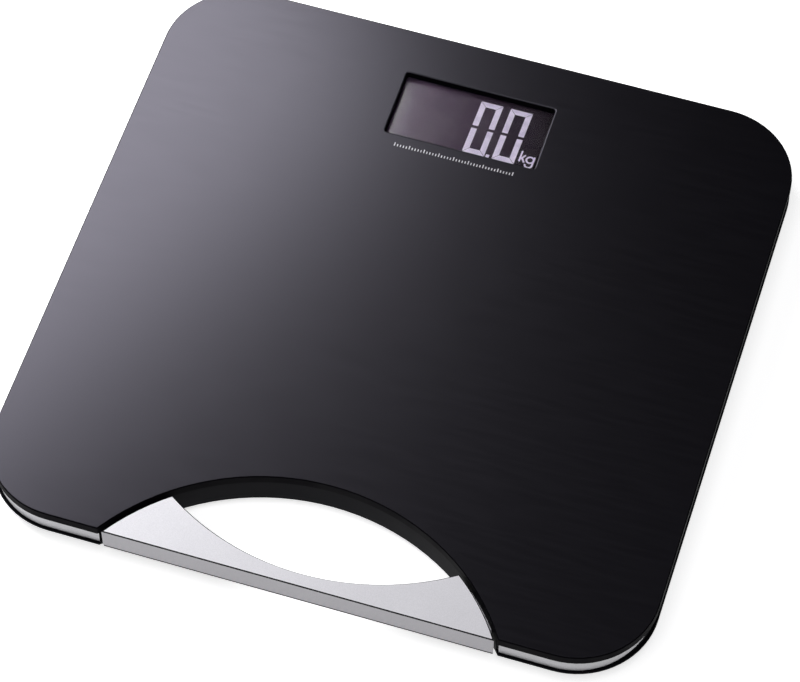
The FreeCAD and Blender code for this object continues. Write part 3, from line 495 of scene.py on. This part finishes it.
def unit_mark(left, base):
    """The unit "kg" beside the number, drawn in plain strokes."""
    w = UNIT_STROKE
    k_right = left + K_WIDTH
    centre = (left + G_CENTRE_X, base + LETTER_BODY / 2)
    stem = centre[0] + LETTER_R
    k = [
        bar((left, base), (left, base + UNIT_HEIGHT), w),
        bar((left + w / 2, base + LETTER_BODY * 0.40), (k_right, base + LETTER_BODY), w),
        bar((left + w, base + LETTER_BODY * 0.55), (k_right + w * 0.3, base), w),
    ]
    bowl = ring(centre, LETTER_R, w)
    tail = ring((centre[0], base - G_TAIL), LETTER_R, w, 180, 360, 10)
    return k + bowl + [bar((stem, base + LETTER_BODY), (stem, base - G_TAIL), w)] + tail


def lcd_digits():
    low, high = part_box("lcd_front_glass")
    base = (low.y + high.y) / 2 - DIGIT_HEIGHT / 2
    outlines = [line for left in DIGIT_LEFTS for line in zero(left, base)]
    dot = bar((POINT_X, base + POINT_SIZE / 2), (POINT_X + POINT_SIZE, base + POINT_SIZE / 2), POINT_SIZE)
    outlines.append(dot)
    outlines += unit_mark(UNIT_LEFT, base + UNIT_RAISE)
    builder = bmesh.new()
    z = high.z + DISPLAY_LIFT
    for outline in outlines:
        leaned = [(p[0] + SLANT * (p[1] - base), p[1]) for p in outline]
        prism(builder, leaned, z, z + SEGMENT_T)
    finished("lcd_digits", builder, MATERIALS["lit_segment"], "casing")


def printed_scale():
    """A printed row of fine graduations in front of the display, every fifth one taller."""
    builder = bmesh.new()
    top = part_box("platform")[1].z
    start, end = TICK_SPAN
    for i in range(TICKS):
        x = start + (end - start) * i / (TICKS - 1)
        tall = TICK_HEIGHT if i % TICK_GROUP else TICK_TALL_HEIGHT
        prism(builder, bar((x, TICK_Y), (x, TICK_Y + tall), TICK_WIDTH), top - TICK_DEPTH, top + TICK_DEPTH)
    finished("printed_scale", builder, MATERIALS["printed_ink"], "casing")


lcd_digits()
printed_scale()


# --- floor, light and camera ----------------------------------------------------------------------------
def floor():
    bpy.ops.mesh.primitive_plane_add(size=FLOOR_SIZE, location=(0, 0, -FLOOR_DROP))
    plane = bpy.context.object
    plane.name = "floor"
    material, shader = new_material("floor", FLOOR_COLOUR, FLOOR_ROUGHNESS)
    where = place(material)
    mottle = spread(material, noise(material, where, FLOOR_MOTTLE_SCALE), 0.0, 1.0)
    darker = [c * FLOOR_SHADE for c in FLOOR_COLOUR]
    link(material, tint(material, mottle, darker, FLOOR_COLOUR), shader.inputs["Base Color"])
    shader.inputs["Emission Color"].default_value = (1.0, 1.0, 1.0, 1.0)
    shader.inputs["Emission Strength"].default_value = FLOOR_GLOW
    # seen from below, the floor is clear, so that the underside shows
    clear = add(material, "ShaderNodeBsdfTransparent")
    pick = add(material, "ShaderNodeMixShader")
    link(material, add(material, "ShaderNodeNewGeometry").outputs["Backfacing"], pick.inputs["Fac"])
    link(material, shader.outputs["BSDF"], pick.inputs[1])
    link(material, clear.outputs["BSDF"], pick.inputs[2])
    link(material, pick.outputs["Shader"], material.node_tree.nodes["Material Output"].inputs["Surface"])
    paint(plane, material)


def area_light(name, at, size, radiance, aim=(0, 0, 0)):
    data = bpy.data.lights.new(name, "AREA")
    data.shape = "RECTANGLE"
    data.size, data.size_y = size
    data.energy = radiance * math.pi * size[0] * size[1]
    light = bpy.data.objects.new(name, data)
    light.location = at
    light.rotation_euler = (Vector(aim) - Vector(at)).to_track_quat("-Z", "Y").to_euler()
    bpy.context.scene.collection.objects.link(light)


def world():
    background = bpy.data.worlds.new("studio")
    background.use_nodes = True
    background.node_tree.nodes["Background"].inputs["Color"].default_value = (*WORLD_COLOUR, 1.0)
    bpy.context.scene.world = background


def camera():
    a, e = CAMERA_AZIMUTH, CAMERA_ELEVATION
    target = Vector((*CAMERA_TARGET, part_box("platform")[1].z))
    back = Vector((math.sin(a) * math.cos(e), -math.cos(a) * math.cos(e), math.sin(e)))
    data = bpy.data.cameras.new("camera")
    data.lens = CAMERA_LENS
    data.sensor_width = SENSOR_WIDTH
    data.clip_start = CLIP_START
    eye = bpy.data.objects.new("camera", data)
    eye.location = target + back * CAMERA_DISTANCE
    eye.rotation_euler = (-back).to_track_quat("-Z", "Y").to_euler()
    bpy.context.scene.collection.objects.link(eye)
    bpy.context.scene.camera = eye


floor()
world()
area_light("softbox", SOFTBOX_AT, SOFTBOX_SIZE, SOFTBOX_RADIANCE, SOFTBOX_AIM)
area_light("top", TOP_AT, TOP_SIZE, TOP_RADIANCE)
for side in (-1, 1):
    area_light("low_fill", (side * FILL_AT[0], FILL_AT[1], FILL_AT[2]), FILL_SIZE, FILL_RADIANCE)
camera()
bpy.context.scene.view_settings.view_transform = "Standard"
